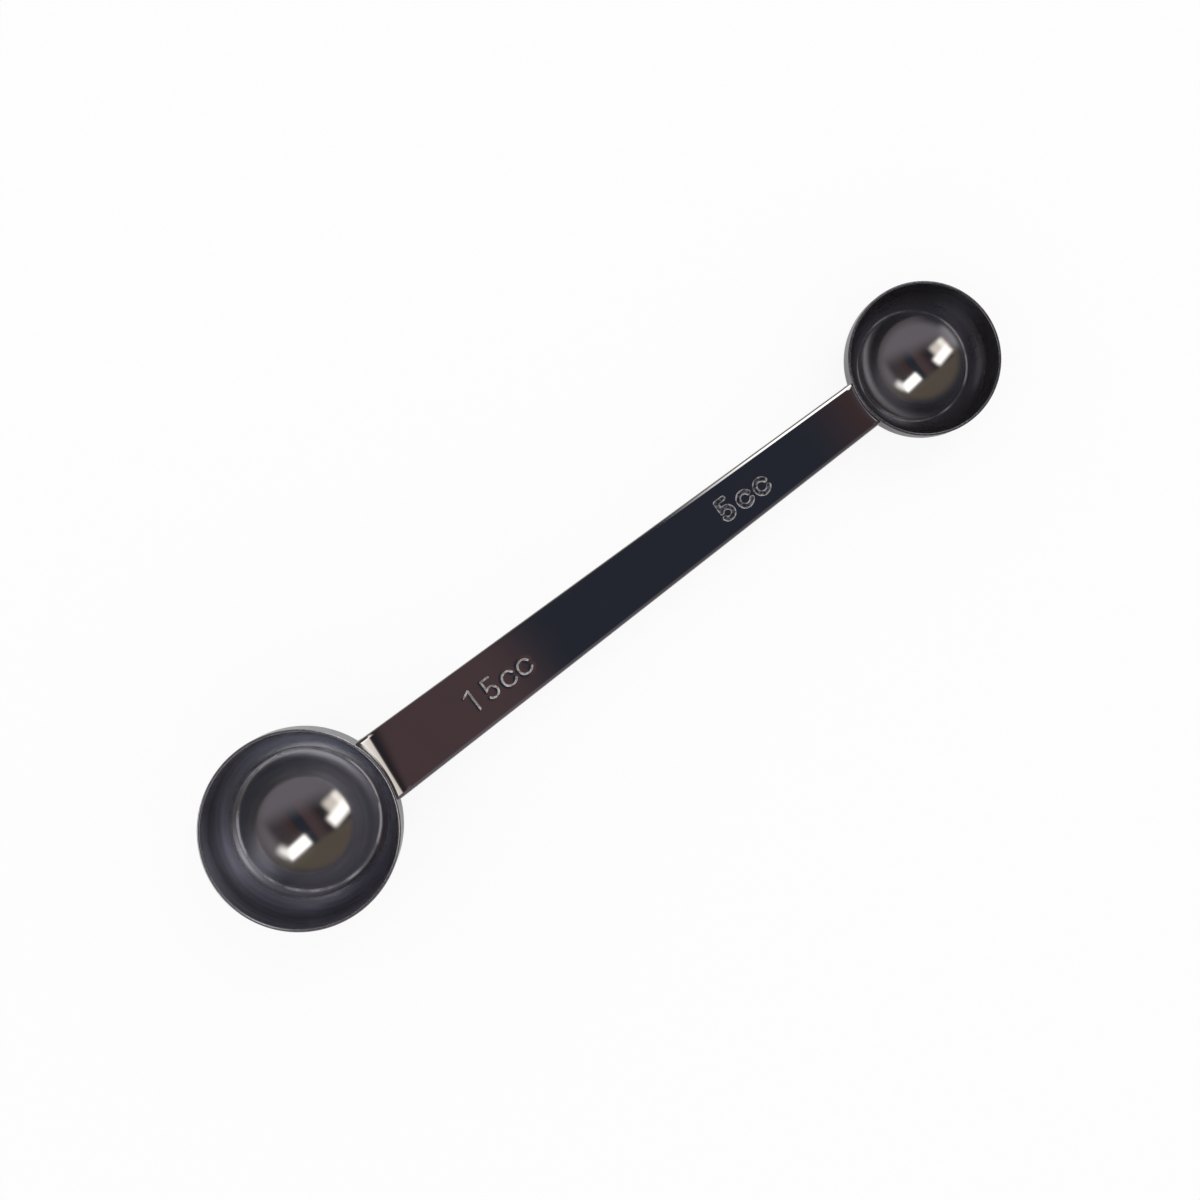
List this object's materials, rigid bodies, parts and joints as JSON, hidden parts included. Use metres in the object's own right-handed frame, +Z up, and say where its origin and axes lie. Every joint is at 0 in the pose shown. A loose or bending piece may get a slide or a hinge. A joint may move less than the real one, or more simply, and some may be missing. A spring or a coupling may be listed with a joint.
{
  "type": "measuring spoon",
  "caption": "Double-ended measuring spoon: a deep round 15 ml cup and a smaller 5 ml cup spot-welded to the bent ends of a flat tapered steel strip.",
  "frame": {"origin": "on the table under the middle of the spoon's overall length, half way across; the spoon lies on the lowest point of each cup", "axes": "+Z up from the table; +X along the strip from the large cup to the small cup; Y across. Both mouths and the strip lean 3.9 degrees down towards +X, because the large cup is deeper"},
  "size_m": [0.1612, 0.0336, 0.024],
  "materials": {
    "large_bowl": "stainless steel, bright outside, slightly softer drawn finish inside",
    "small_bowl": "stainless steel, bright outside, slightly softer drawn finish inside",
    "handle": "mirror-polished stainless steel strip with tumbled edges",
    "large_bowl_welds": "spot-weld dimples, slightly heat-tinted",
    "small_bowl_welds": "spot-weld dimples, slightly heat-tinted"
  },
  "bodies": {
    "root": {"large_bowl": "large_bowl", "small_bowl": "small_bowl", "handle": "handle", "large_bowl_welds": "large_bowl_welds", "small_bowl_welds": "small_bowl_welds"}
  },
  "joints": []
}
